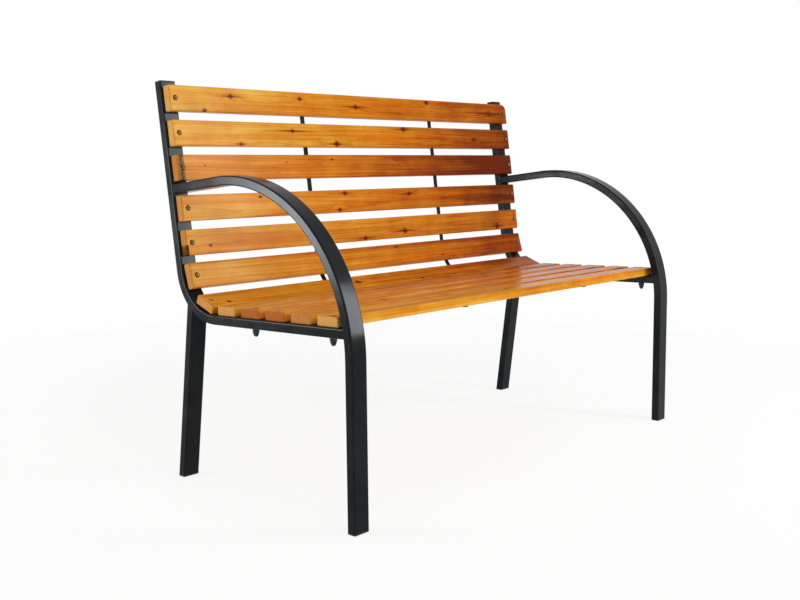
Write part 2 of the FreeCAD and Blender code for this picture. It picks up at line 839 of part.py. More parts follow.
def over_seat():
    """A block that fills the space over the rail and in front of the back."""
    body = new_body("seat_keepout")
    sketch = new_sketch(body, "YZ_Plane", "seat_keepout_outline")
    over_rail = move(seat_bend, out_of_seat, -size("bend_radius"))
    over_back = move(seat_bend, out_of_back, -size("bend_radius"))
    far_front = move(over_rail, down_seat, -size("overall_depth"))
    corners = [far_front, over_rail, seat_bend, over_back, back_top]
    corners.append((far_front[0], back_top[1]))
    polygon(sketch, [(f"{y:.6f}", f"{z:.6f}") for y, z in corners])
    feature = pad(body, sketch, f"tube_width + {SPARE}")
    feature.Midplane = True
    doc.recompute()
    return body


def make_arm_legs():
    """The tube that is front leg and arm in one; gives the solid bar to fit others to."""
    foot = (f"{FRONT_FOOT_Y} - {SPARE} * tan(front_leg_angle * 1 deg)", str(-SPARE))
    arm_end = (
        f"{ARM_JOINT_Y} + tube_depth / 2 * cos(arm_angle * 1 deg)",
        f"{ARM_JOINT_Z} - tube_depth / 2 * sin(arm_angle * 1 deg)",
    )
    run = (foot, "90 - front_leg_angle", arm_end, "180 - arm_angle", "arm_radius")
    bar = swept("arm_bar", OUTSIDE, *run, "-front_leg_angle")
    bore = swept("arm_bore", BORE, *run, "-front_leg_angle")
    bar = cut("arm_bar_fitted", bar, behind_back_face())
    tube = cut("arm_hollow", bar, bore)
    finish_sides("Part::Cut", "arm_leg_tube", tube, below_steel)
    return bar


def make_back_seats(arm_bar):
    """The tube that is back and seat rail in one; gives the solid bar to fit others to."""
    steel_top = (STEEL_TOP_Y, STEEL_TOP_Z)
    end_y = f"{rail_meets_leg()[0]:.6f}"
    end = (end_y, f"{RAIL_Z} - ({end_y}) * tan(seat_angle * 1 deg)")
    run = (steel_top, "90 - back_angle", end, "180 - seat_angle", "bend_radius")
    bar = swept("rail_bar", OUTSIDE, *run, "-back_angle")
    bore = swept("rail_bore", BORE, *run, "-back_angle")
    tube = cut("rail_hollow", bar, bore)
    tube = cut("rail_fitted", tube, arm_bar)
    screws = copies("rail_screw_holes", screw_drill, on_faces(back_seats + screwed_seats))
    bolts = copies("rail_bolt_holes", bolt_drill, on_faces(bolted_seats))
    tube = cut("rail_screwed", tube, screws)
    finish_sides("Part::Cut", "back_seat_tube", tube, bolts)
    return bar


def make_rear_legs(rail_bar):
    """The leg under the bend, cut to the round of the bend at its top."""
    bar = straight("leg_bar", OUTSIDE, REAR_FOOT_Y, "rear_leg_angle")
    bore = straight("leg_bore", BORE, REAR_FOOT_Y, "rear_leg_angle")
    tube = cut("leg_hollow", bar, bore)
    tube = cut("leg_footed", tube, below_steel)
    tube = cut("leg_fitted", tube, rail_bar)
    tube = cut("leg_under_bend", tube, inside_bend())
    finish_sides("Part::Cut", "rear_leg", tube, over_seat())


def make_top_cap(name, x):
    """A plastic cap on the top of a back tube, with a hollow skirt inside it."""
    body = new_body(name)
    rim = new_sketch(body, "XY_Plane", name + "_rim")
    rounded_rectangle(rim, *OUTSIDE)
    top = pad(body, rim, "cap_rim")
    edges = []
    for index, edge in enumerate(top.Shape.Edges, start=1):
        if edge.BoundBox.ZMin > size("cap_rim") - 0.001:
            edges.append(f"Edge{index}")
    rounding = body.newObject("PartDesign::Fillet", name + "_rounding")
    rounding.Base = (top, edges)
    bind(rounding, "Radius", "cap_edge")
    doc.recompute()
    skirt = new_sketch(body, "XY_Plane", name + "_skirt")
    rounded_rectangle(skirt, *SKIRT)
    pad(body, skirt, "plug_depth", backwards=True)
    hollow = new_sketch(body, "XY_Plane", name + "_hollow")
    rounded_rectangle(hollow, *SKIRT_HOLLOW)
    pocket(body, hollow, "plug_depth")
    base = V(0, size(STEEL_TOP_Y), size(STEEL_TOP_Z))
    body.Placement = FreeCAD.Placement(base, FreeCAD.Rotation(X_AXIS, -size("back_angle")))
    finish(body, name, x)


def make_foot_plugs(name, foot_y, tilt):
    """Plastic feet, level underneath, with a hollow skirt up inside the leg."""
    rim_bar = straight(name + "_rim_bar", OUTSIDE, foot_y, tilt)
    skirt_bar = straight(name + "_skirt_bar", SKIRT, foot_y, tilt)
    hollow_bar = straight(name + "_hollow_bar", SKIRT_HOLLOW, foot_y, tilt)
    rim = common(name + "_rim", rim_bar, rim_slab)
    skirt = common(name + "_skirt", skirt_bar, skirt_slab)
    skirt = cut(name + "_skirt_hollow", skirt, hollow_bar)
    finish_sides("Part::Fuse", name, rim, skirt)


def make_side_frames():
    arm_bar = make_arm_legs()
    rail_bar = make_back_seats(arm_bar)
    make_rear_legs(rail_bar)
    for side, x in SIDES:
        make_top_cap(f"{side}_top_cap", x)
    make_foot_plugs("front_foot", FRONT_FOOT_Y, "-front_leg_angle")
    make_foot_plugs("rear_foot", REAR_FOOT_Y, "rear_leg_angle")


# ---------------------------------------------------------------- straps and fasteners


def make_straps():
    """Flat bars behind the slats, down the back, round the bend and under the seat."""
    inward = "(tube_depth - strap_thickness) / 2"
    drop = "(top_margin + strap_margin)"
    start = (
        f"{BACK_TOP_Y} - {drop} * sin(back_angle * 1 deg)"
        f" - {inward} * cos(back_angle * 1 deg)",
        f"{BACK_TOP_Z} - {drop} * cos(back_angle * 1 deg)"
        f" + {inward} * sin(back_angle * 1 deg)",
    )
    front_edge = forward_on_seat(slat_edge_point(seat_seats[-1], -1))
    front = on_seat(front_edge - size("strap_margin"))
    end_y = f"{front[0]:.6f}"
    end = (
        end_y,
        f"{RAIL_Z} - ({end_y}) * tan(seat_angle * 1 deg)"
        f" + {inward} / cos(seat_angle * 1 deg)",
    )
    radius = f"bend_radius - {inward}"
    run = (start, "90 - back_angle", end, "180 - seat_angle", radius)
    section = ("strap_width", "strap_thickness", "strap_thickness / 6")
    body = swept("strap_bar", section, *run, "-back_angle")
    places = behind_strap(back_seats + seat_seats)
    holes = copies("strap_holes", tack_drill, places)
    for side, x in STRAPS:
        strap = doc.addObject("Part::Cut", f"{side}_strap_part")
        strap.Base = body
        strap.Tool = holes
        finish(strap, f"{side}_middle_strap", x)
        finish_group(f"{side}_strap_screws", tack, places, x)


def make_fasteners():
    below_washer = [
        place.multiply(FreeCAD.Placement(V(0, 0, -size("washer_thickness")), NO_TURN))
        for place in under_rail(bolted_seats)
    ]
    groups = (
        ("back_screws", screw, on_faces(back_seats)),
        ("seat_screws", screw, on_faces(screwed_seats)),
        ("seat_bolts", bolt, on_faces(bolted_seats)),
        ("nut_washers", washer, under_rail(bolted_seats)),
        ("cap_nuts", cap_nut, below_washer),
    )
    for side, x in SIDES:
        for name, master, places in groups:
            finish_group(f"{side}_{name}", master, places, x)


def check_and_export():
    doc.recompute()
    for item in doc.Objects:
        if "Invalid" in item.State or "Error" in item.State:
            raise RuntimeError(f"{item.Name} failed: {item.State}")
    os.makedirs("parts", exist_ok=True)
    for node in parts:
        shape = node.Shape
        if shape.isNull() or not shape.isValid() or not shape.Solids:
            raise RuntimeError(f"{node.Label} has no valid shape")
        shape.exportStep(f"parts/{node.Label}.step")
        print(f"{node.Label}: {len(shape.Solids)} solid(s), {shape.Volume / 1000:.1f} cm3")


screw = make_screw()
tack = make_tack()
bolt = make_bolt()
washer = make_washer()
cap_nut = make_cap_nut()
screw_drill = make_drill("screw_drill", "screw_shank", "screw_length")
tack_drill = make_drill("tack_drill", "tack_shank + hole_clearance", "tack_length")
bolt_drill = make_drill(
    "bolt_drill", "bolt_shank + hole_clearance", f"{BOLT_GRIP} + washer_thickness"
)
below_steel = slab("below_steel", f"-2 * {SPARE}", "plug_rim")
rim_slab = slab("rim_slab", "0", "plug_rim")
skirt_slab = slab("skirt_slab", "plug_rim", "plug_rim + plug_depth")

make_side_frames()
make_slats()
make_straps()
make_fasteners()
check_and_export()
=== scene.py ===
# %% [markdown]
# # A garden bench with a slatted back
#
# The bench is two bent steel side frames that carry twelve varnished pine slats. The
# solids of the frames, caps and nuts arrive finished and stay as they are: here they only
# get their paint and plastic. The slats and the screws are built again as finer surfaces,
# because wood needs to know which way its grain runs and a screw head needs its recess.
# Lengths are in metres, +Z is up and the front of the bench faces -Y.

import math

import bpy
import numpy as np
from mathutils import Matrix, Vector


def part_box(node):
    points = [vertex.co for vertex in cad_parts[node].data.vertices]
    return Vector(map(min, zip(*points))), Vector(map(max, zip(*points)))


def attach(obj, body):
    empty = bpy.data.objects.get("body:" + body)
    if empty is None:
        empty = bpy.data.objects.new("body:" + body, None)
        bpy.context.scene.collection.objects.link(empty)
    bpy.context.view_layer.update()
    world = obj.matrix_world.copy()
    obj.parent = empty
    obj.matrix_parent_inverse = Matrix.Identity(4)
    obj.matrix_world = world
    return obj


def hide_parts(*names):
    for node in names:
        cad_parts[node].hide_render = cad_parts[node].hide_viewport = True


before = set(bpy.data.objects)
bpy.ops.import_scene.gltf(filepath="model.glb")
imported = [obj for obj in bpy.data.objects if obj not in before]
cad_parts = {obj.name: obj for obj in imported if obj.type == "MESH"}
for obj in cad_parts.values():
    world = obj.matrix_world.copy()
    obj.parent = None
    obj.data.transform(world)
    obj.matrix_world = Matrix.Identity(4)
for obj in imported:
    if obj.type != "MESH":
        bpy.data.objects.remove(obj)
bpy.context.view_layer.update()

# %% [markdown]
# ## The camera
#
# The view is from the left front, a little above the seat, through a lens slightly longer
# than a normal one. A camera can be made to track an empty, but here three plain angles
# turn it: its heading, its dip below the horizon, and a tilt of less than a degree about
# its own line of sight. Each can then be changed alone.

# %% Camera
EYE = Vector((-1.9688, -1.6144, 0.7248))
HEADING = math.radians(48.448)  # from +Y towards +X
DIP = math.radians(8.306)  # below the horizon
TILT = math.radians(0.685)
LENS_MM = 47.59

camera = bpy.data.objects.new("camera", bpy.data.cameras.new("camera"))
bpy.context.scene.collection.objects.link(camera)
bpy.context.scene.camera = camera
camera.data.lens = LENS_MM
camera.data.sensor_width = 36.0
look = Matrix.Rotation(-HEADING, 4, "Z") @ Matrix.Rotation(math.pi / 2 - DIP, 4, "X")
camera.matrix_world = Matrix.Translation(EYE) @ look @ Matrix.Rotation(TILT, 4, "Z")
print("camera at", [round(v, 3) for v in EYE], "lens", LENS_MM)

# %% [markdown]
# ## Node helpers
#
# A material is a graph of nodes. Writing each link out by hand hides the idea, so a small
# builder makes a node, sets its values and links its inputs in one call. An input may be
# a plain value or the output of another node.


# %% A small builder for shader graphs
class Graph:
    """Adds nodes to one node tree, and returns the output that the next node needs."""

    def __init__(self, tree):
        self.tree = tree

    def feed(self, node, inputs):
        """Links each named input to a socket, or sets it to a plain value."""
        for key, value in inputs.items():
            if isinstance(value, bpy.types.NodeSocket):
                self.tree.links.new(value, node.inputs[key])
            else:
                node.inputs[key].default_value = value

    def add(self, kind, inputs=None, **settings):
        node = self.tree.nodes.new(kind)
        for key, value in settings.items():
            setattr(node, key, value)
        self.feed(node, inputs or {})
        return node

    def math(self, operation, a, b=0.0, clamp=False):
        inputs = {0: a, 1: b}
        return self.add(
            "ShaderNodeMath", inputs, operation=operation, use_clamp=clamp
        ).outputs[0]

    def times(self, value, *others):
        for other in others:
            value = self.math("MULTIPLY", value, other)
        return value

    def plus(self, value, *others):
        for other in others:
            value = self.math("ADD", value, other)
        return value

    def minus(self, a, b):
        return self.math("SUBTRACT", a, b)

    def vector_math(self, operation, a, b=(0.0, 0.0, 0.0)):
        node = self.add("ShaderNodeVectorMath", {0: a, 1: b}, operation=operation)
        return node.outputs["Value"]

    def ramp(self, value, low, high, to_low=0.0, to_high=1.0):
        """Smoothly maps value from low..high onto to_low..to_high, and no further."""
        limits = {"From Min": low, "From Max": high, "To Min": to_low, "To Max": to_high}
        inputs = {"Value": value, **limits}
        node = self.add("ShaderNodeMapRange", inputs, interpolation_type="SMOOTHSTEP")
        return node.outputs["Result"]

    def mix(self, factor, a, b, blend="MIX"):
        """Blends two colours; a plain colour is given as (red, green, blue)."""
        a, b = ((*c, 1.0) if isinstance(c, tuple) else c for c in (a, b))
        inputs = {0: factor, 6: a, 7: b}
        node = self.add("ShaderNodeMix", inputs, data_type="RGBA", blend_type=blend)
        return node.outputs[2]

    def noise(self, vector, scale, detail=2.0, roughness=0.5):
        inputs = {"Vector": vector, "Scale": scale, "Detail": detail, "Roughness": roughness}
        return self.add("ShaderNodeTexNoise", inputs).outputs["Fac"]

    def bump(self, height, distance):
        inputs = {"Height": height, "Distance": distance, "Strength": 1.0}
        return self.add("ShaderNodeBump", inputs).outputs["Normal"]

    def object_place(self):
        """The place of a point on the bench, in metres."""
        return self.add("ShaderNodeTexCoord").outputs["Object"]


def new_group(name, inputs, outputs):
    """An empty node group with named inputs (name, type, default) and outputs."""
    tree = bpy.data.node_groups.new(name, "ShaderNodeTree")
    for label, kind, default in inputs:
        socket = tree.interface.new_socket(label, in_out="INPUT", socket_type=kind)
        if default is not None:
            socket.default_value = default
    for label, kind in outputs:
        tree.interface.new_socket(label, in_out="OUTPUT", socket_type=kind)
    graph = Graph(tree)
    return graph, graph.add("NodeGroupInput").outputs, graph.add("NodeGroupOutput")


def new_material(name):
    """A material, the graph to build on, and its Principled BSDF."""
    material = bpy.data.materials.new(name)
    material.use_nodes = True
    return material, Graph(material.node_tree), material.node_tree.nodes["Principled BSDF"]


FLOAT, VECTOR = "NodeSocketFloat", "NodeSocketVector"
print("helpers ready")

# %% [markdown]
# ## Powder coat
#
# The frames are steel with a baked black powder coat. It is not a mirror: the powder
# melts into a skin with fine waves, called orange peel, and dust dulls it in places. One
# flat black would make every face and edge look alike. The waves are a node group
# because the plastic caps and the nuts need them as well, at other scales. Where a corner
# is rubbed, the skin is thinner and a little smoother, so a second group finds corners by
# comparing the true normal with one that a small bevel would give.

# %% Orange peel
GRIT_FINENESS = 4.3  # grit per wave
GRIT_HEIGHT = 0.06  # as a share of a wave

peel, peel_in, peel_out = new_group(
    "orange_peel",
    [("Position", VECTOR, None), ("Waves per metre", FLOAT, 600.0), ("Patches", FLOAT, 9.0)],
    [("Height", FLOAT), ("Patch", FLOAT)],
)
waves = peel.noise(peel_in["Position"], peel_in["Waves per metre"], 1.5, 0.4)
grit_scale = peel.times(peel_in["Waves per metre"], GRIT_FINENESS)
grit = peel.noise(peel_in["Position"], grit_scale, 1.0)
patches = peel.noise(peel_in["Position"], peel_in["Patches"], 4.0, 0.62)
height = peel.plus(waves, peel.times(grit, GRIT_HEIGHT))
peel.feed(peel_out, {"Height": height, "Patch": peel.ramp(patches, 0.35, 0.68)})
print("group:", peel.tree.name)

# %% Rubbed corners
rub, rub_in, rub_out = new_group(
    "rubbed_edge", [("Position", VECTOR, None), ("Reach", FLOAT, 0.003)], [("Mask", FLOAT)]
)
bevel = rub.add("ShaderNodeBevel", {"Radius": rub_in["Reach"]}, samples=4).outputs[0]
true_normal = rub.add("ShaderNodeNewGeometry").outputs["Normal"]
corner = rub.ramp(rub.vector_math("DOT_PRODUCT", bevel, true_normal), 0.99, 0.93)
scuffs = rub.ramp(rub.noise(rub_in["Position"], 60.0, 5.0, 0.7), 0.42, 0.66)
rub.feed(rub_out, {"Mask": rub.times(corner, scuffs)})
print("group:", rub.tree.name)


# %% Black finishes
def lighter(color, gain, lift):
    """Each channel times gain, plus lift, so that even a near black grows lighter."""
    return tuple(c * gain + lift for c in color)


def painted(name, color, roughness, waves_per_metre, depth, rubbed, ior):
    """A dark skin over a hard part: colour, gloss and waves vary over the surface.

    Dusty patches are lighter and duller, rubbed corners lighter still but smoother. The
    depth of the waves is in metres, and rubbed is how much of the wear shows.
    """
    material, graph, shader = new_material(name)
    place = graph.object_place()
    skin = graph.add("ShaderNodeGroup", node_tree=peel.tree)
    graph.feed(skin, {"Position": place, "Waves per metre": waves_per_metre})
    edge = graph.add("ShaderNodeGroup", node_tree=rub.tree)
    graph.feed(edge, {"Position": place})
    patch, wear = skin.outputs["Patch"], graph.times(edge.outputs["Mask"], rubbed)
    tint = graph.mix(patch, color, lighter(color, 1.7, 0.002))
    rough = graph.ramp(patch, 0.0, 1.0, roughness, roughness + 0.07)
    graph.feed(shader, {
        "Base Color": graph.mix(wear, tint, lighter(color, 3.0, 0.012)),
        "Roughness": graph.minus(rough, graph.times(wear, 0.08)),
        "Normal": graph.bump(skin.outputs["Height"], depth),
        "IOR": ior,
        "Specular Tint": (0.86, 0.93, 1.0, 1.0),
    })
    return material


powder_coat = painted(
    "black_powder_coat", (0.0052, 0.0056, 0.0064),
    roughness=0.14, waves_per_metre=420.0, depth=1.0e-5, rubbed=0.5, ior=1.19,
)
cap_plastic = painted(
    "black_plastic", (0.006, 0.0068, 0.008),
    roughness=0.42, waves_per_metre=1400.0, depth=3e-5, rubbed=0.3, ior=1.36,
)
black_zinc = painted(
    "black_zinc", (0.010, 0.009, 0.008),
    roughness=0.34, waves_per_metre=900.0, depth=1.5e-5, rubbed=0.8, ior=1.4,
)
print("finishes:", powder_coat.name, cap_plastic.name, black_zinc.name)


# %% Paint on the solids that stay
def paint_nodes(material, *endings):
    """Gives a material to every solid whose name ends in one of the endings."""
    done = [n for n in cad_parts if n.endswith(endings)]
    for name in done:
        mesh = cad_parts[name].data
        mesh.materials.clear()
        mesh.materials.append(material)
    print(material.name, "on", len(done), "solids")


paint_nodes(powder_coat, "_tube", "_leg", "_strap")
paint_nodes(cap_plastic, "_cap", "_foot")
paint_nodes(black_zinc, "_washers", "_nuts", "_strap_screws")

# %% [markdown]
# ## The shape of a board
#
# A slat is a sawn board with softly rounded edges. A bevelled box would have that shape,
# but its few points could not carry the grain. So the section is worked out once as a
# closed line of points and repeated along the board, which gives a fine grid.

# %% Board sizes
BOARD_LENGTH = 1.2
BOARD_WIDTH = 0.055
BOARD_THICKNESS = 0.02
EDGE_ROUND = 0.0025
CORNER_ROUND = 0.019  # the one large round, at the right end of the top slat
ROUND_STEPS = 4  # steps round each long edge


def board_profile(across=30, through=8):
    """Section of a board as (across, up) pairs about its middle, counter-clockwise.

    Four straight sides joined by quarter circles whose radius is EDGE_ROUND.
    """
    edge_w, edge_t = BOARD_WIDTH / 2, BOARD_THICKNESS / 2
    half_w, half_t = edge_w - EDGE_ROUND, edge_t - EDGE_ROUND
    wide, thin = np.linspace(-half_w, half_w, across), np.linspace(-half_t, half_t, through)
    turn = np.linspace(0, math.pi / 2, ROUND_STEPS + 2)[1:-1]
    sides = (
        np.stack([wide, np.full(across, -edge_t)], 1),
        np.stack([np.full(through, edge_w), thin], 1),
        np.stack([-wide, np.full(across, edge_t)], 1),
        np.stack([np.full(through, -edge_w), -thin], 1),
    )
    corners = ((1, -1, -0.5), (1, 1, 0.0), (-1, 1, 0.5), (-1, -1, 1.0))
    parts = []
    for side, (sx, sy, start) in zip(sides, corners):
        angle = turn + start * math.pi
        arc = np.stack([np.cos(angle), np.sin(angle)], 1) * EDGE_ROUND
        parts += [side, arc + (sx * half_w, sy * half_t)]
    return np.concatenate(parts)


profile = board_profile()
print("points round a board:", len(profile))

# %% Stations along a board
CROWDING, CROWD_REACH = 7, 2.4  # extra stations over a knot, and how far, in its radii


def stations(knots, count=380):
    """Places of the sections along a board, crowded where there are knots.

    A density of one, plus a bell curve of height CROWDING over each knot, is summed along
    the board, and equal steps of that sum give the places.
    """
    x = np.linspace(-BOARD_LENGTH / 2 + EDGE_ROUND, BOARD_LENGTH / 2 - EDGE_ROUND, 6000)
    density = np.ones_like(x)
    for place, _, radius, _ in knots:
        density += CROWDING * np.exp(-(((x - place) / (CROWD_REACH * radius)) ** 2))
    total = np.cumsum(density)
    return np.interp(np.linspace(total[0], total[-1], count), total, x)


print("stations along a board:", len(stations([])))

# %% The surface of a board
END_RINGS = 9  # rings that draw each end together
CORE_SHARE, CORE_INSET = 0.12, 0.008  # how small the last ring is, and its place


def board_surface(knots, rounded_corner):
    """Grid of points (along, across, up) of a closed board.

    Each station is the section moved along the board. At an end the section shrinks by
    the inset of a quarter circle, and more rings draw it together towards a flat core
    that one last face fills. A rounded corner lowers the upper edge near the right end by
    the inset of a larger quarter circle, less and less towards the lower edge.
    """
    half = BOARD_LENGTH / 2
    quarter = np.linspace(0, math.pi / 2, ROUND_STEPS + 2)
    into_end = half - EDGE_ROUND + EDGE_ROUND * np.sin(quarter)
    inset = EDGE_ROUND - EDGE_ROUND * np.cos(quarter)
    middle = stations(knots)[1:-1]
    if rounded_corner:
        bend = half - CORNER_ROUND + CORNER_ROUND * np.sin(np.linspace(0.0, 1.5, 14))
        middle = np.unique(np.concatenate([middle, bend[bend < middle[-1]]]))
    along = np.concatenate([-into_end[::-1], middle, into_end])
    inset = np.concatenate([inset[::-1], np.zeros(len(middle)), inset])[:, None]
    across = profile[:, 0] * (1 - inset / (BOARD_WIDTH / 2))
    up = profile[:, 1] * (1 - inset / (BOARD_THICKNESS / 2))
    if rounded_corner:
        past = np.clip(along - (half - CORNER_ROUND), 0, CORNER_ROUND)
        drop = CORNER_ROUND - np.sqrt(np.maximum(CORNER_ROUND**2 - past**2, 0))
        across = across - drop[:, None] * (across / BOARD_WIDTH + 0.5)
    grid = np.stack([np.broadcast_to(along[:, None], across.shape), across, up], 2)
    shrink = np.linspace(1, CORE_SHARE, END_RINGS)[1:, None, None]
    closings = []
    for ring in (grid[0], grid[-1]):
        low, high = ring[:, 1].min() + CORE_INSET, ring[:, 1].max() - CORE_INSET
        core = np.stack([ring[:, 0], np.clip(ring[:, 1], low, high), 0 * ring[:, 2]], 1)
        closings.append(core + (ring - core) * shrink)
    return np.concatenate([closings[0][::-1], grid, closings[1]])


print("rings, points in a ring:", board_surface([], True).shape[:2])

# %% [markdown]
# ## From grids to pieces
#
# Boards, screws and weld beads are all tubes of points: rows of closed rings, with a last
# face over each end. One helper turns such grids into a mesh. The piece stays at the
# origin, unturned, and its place on the bench is in its points.


# %% Closed pieces from grids of points
def closed_faces(rows, columns, first, inward):
    """Faces of a grid whose rings close on themselves, and one face over each end.

    Each quad runs from a point to the next one of its ring, then to the next ring. The
    first point of the grid has the number first. Rings that run clockwise, seen from the
    last one, make faces that look inward, so those are turned round.
    """
    i, j = np.meshgrid(np.arange(rows - 1), np.arange(columns), indexing="ij")
    a, b = first + i * columns + j, first + i * columns + (j + 1) % columns
    quads = np.stack([a, b, b + columns, a + columns], 2).reshape(-1, 4)
    ring = first + np.arange(columns)
    ends = [ring[::-1].tolist(), (ring + (rows - 1) * columns).tolist()]
    if inward:
        quads, ends = quads[:, [0, 3, 2, 1]], [end[::-1] for end in ends]
    return quads.tolist() + ends


def build_mesh(name, points, faces):
    """A smooth mesh object at the origin from an array of points and a list of faces."""
    mesh = bpy.data.meshes.new(name)
    mesh.from_pydata(points.tolist(), [], faces)
    mesh.polygons.foreach_set("use_smooth", np.ones(len(mesh.polygons), bool))
    mesh.update()
    piece = bpy.data.objects.new(name, mesh)
    bpy.context.scene.collection.objects.link(piece)
    return piece


def build_piece(name, grids, material, inward=False):
    """One piece from closed grids, each with the rows, columns and three coordinates."""
    faces, first = [], 0
    for grid in grids:
        rows, columns = grid.shape[:2]
        faces += closed_faces(rows, columns, first, inward)
        first += rows * columns
    points = np.concatenate([grid.reshape(-1, 3) for grid in grids])
    piece = build_mesh(name, points, faces)
    piece.data.materials.append(material)
    return piece


def store(piece, name, values):
    """Keeps one number, or three, per vertex as a named attribute."""
    kind, field = ("FLOAT", "value") if values.ndim == 1 else ("FLOAT_VECTOR", "vector")
    attribute = piece.data.attributes.new(name, kind, "POINT")
    attribute.data.foreach_set(field, values.astype(np.float32).ravel())


print("faces of one board:", len(closed_faces(*board_surface([], False).shape[:2], 0, False)))

# %% [markdown]
# ## How a board gets its grain
#
# A board is a slice through a trunk. The rings are nearly round about the pith, so at
# each point of the board the distance from the pith says which ring it lies in, on the
# faces and on the end grain alike. Branches leave the pith as knots, and the rings swell
# round them. A noise texture alone gives stripes that do not agree with the sawn ends.
# Here one formula in three coordinates gives both, so numpy works it out for every
# vertex of the grid and the mesh carries the answers as attributes.
#
# Every board has its own trunk: where the pith ran, how it wandered, and where branches
# left it. A knot is given by its place along and across the face, its radius and the
# length of the dark streaks that it draws into the grain beside it. The tone runs from
# honey to a redder brown along the board: partly as pine does where the sapwood turns to
# heartwood, partly a painted shade that darkens the right ends.

# %% Knots and tones of the twelve boards
BACK, BEND_LOW, BEND_REAR, SEAT = 80.7, 72.5, 20.0, -2.75  # degrees about X
# name: (tilt, seed, tone at the left, tone at the right, pith across, pith below, knots)
# the tones hold the wood's own tone and a painted shade, deeper at the right end
# pith in millimetres; knot: (along, across, radius, streak) in metres
BOARDS = {
    "back_slat_1": (BACK, 11, 0.22, 1.12, 14, 46, [
        (-0.435, 0.0085, 0.0046, 0.040), (-0.225, 0.011, 0.0040, 0.010),
        (-0.037, -0.001, 0.0050, 0.060), (0.240, 0.02, 0.0046, 0.010),
        (0.516, -0.001, 0.0056, 0.080), (-0.511, -0.0255, 0.0044, 0.008)]),
    "back_slat_2": (BACK, 12, 0.14, 1.24, -22, 38, [
        (-0.260, 0.009, 0.0040, 0.070), (-0.118, -0.02, 0.0062, 0.040),
        (0.134, 0.021, 0.0056, 0.030), (0.433, -0.003, 0.0044, 0.020),
        (-0.420, -0.023, 0.0032, 0.024)]),
    "back_slat_3": (BACK, 13, 0.30, 1.62, 30, 60, [
        (-0.330, -0.002, 0.0016, 0.004), (-0.318, -0.014, 0.0018, 0.004),
        (-0.345, -0.012, 0.0015, 0.003), (-0.290, 0.01, 0.0016, 0.004),
        (-0.140, 0.016, 0.0024, 0.010), (-0.527, 0.004, 0.0015, 0.003)]),
    "back_slat_4": (BACK, 14, 0.16, 1.30, -8, 52, [
        (-0.381, 0.018, 0.0030, 0.014), (-0.109, 0.019, 0.0042, 0.020),
        (0.129, 0.012, 0.0046, 0.022), (-0.132, -0.021, 0.0044, 0.020)]),
    "back_slat_5": (BACK, 15, 0.36, 0.92, 20, 44, [
        (-0.537, -0.009, 0.0032, 0.006), (-0.053, -0.021, 0.0046, 0.040),
        (0.098, -0.01, 0.0056, 0.050), (0.498, -0.017, 0.0060, 0.030)]),
    "back_slat_6": (BEND_LOW, 16, 0.36, 1.08, -34, 58, [
        (0.236, -0.012, 0.0022, 0.010), (0.055, 0.020, 0.0023, 0.012)]),
    "seat_slat_1": (BEND_REAR, 21, 0.42, 1.00, 26, 50, [
        (-0.549, -0.016, 0.0040, 0.010), (-0.143, -0.004, 0.0059, 0.020),
        (0.075, -0.022, 0.0034, 0.040), (0.209, -0.022, 0.0031, 0.030)]),
    "seat_slat_2": (SEAT, 22, 0.42, 0.96, -26, 46, [
        (0.040, 0.010, 0.0034, 0.034), (-0.310, -0.018, 0.0029, 0.014)]),
    "seat_slat_3": (SEAT, 23, 0.34, 0.86, 12, 64, [
        (-0.589, -0.010, 0.0045, 0.008), (0.190, 0.004, 0.0034, 0.020)]),
    "seat_slat_4": (SEAT, 24, 0.34, 0.86, -18, 42, [
        (-0.240, 0.016, 0.0033, 0.016), (0.350, -0.012, 0.0039, 0.018)]),
    "seat_slat_5": (SEAT, 25, 0.38, 0.80, 32, 54, [
        (-0.342, 0.021, 0.0048, 0.020), (0.120, -0.006, 0.0034, 0.020)]),
    "seat_slat_6": (SEAT, 26, 0.32, 0.74, -10, 40, [
        (-0.040, -0.004, 0.0039, 0.018), (0.310, 0.014, 0.0033, 0.014)]),
}
# Redness of each board, seen most on its sawn ends, from 0 sand to 1 red brown.
BACK_ENDS = (0.1, 0.1, 0.6, 0.5, 0.6, 0.45)
SEAT_ENDS = (0.3, 0.15, 0.95, 0.9, 0.55, 0.0)
END_TONES = dict(zip(BOARDS, BACK_ENDS + SEAT_ENDS))
print("knots in all:", sum(len(board[6]) for board in BOARDS.values()))

# %% The trunk a board was cut from
PITH_SWAY, PITH_HEAVE = 0.0028, 0.0016  # wobble of the pith, across and up
AT_PITH = 0.35  # radius of a branch where it starts, as a share of that at the face
LEAN = (0.15, 0.45)  # least and most slope of a branch along the board
SWELLING, SWELL_REACH = 0.7, 2.2  # how far, and how widely, a branch bends the rings
KNOT_GAP = 0.012  # a knot is drawn in full where the next one is this much further


def wander(rng, along, size, waves=5):
    """A slow, smooth wobble: a few sines of falling size and random phase."""
    total = np.zeros_like(along)
    for n in range(1, waves + 1):
        total += np.sin(along * 2.6 * n + rng.uniform(0, 2 * math.pi)) * size / n**1.3
    return total


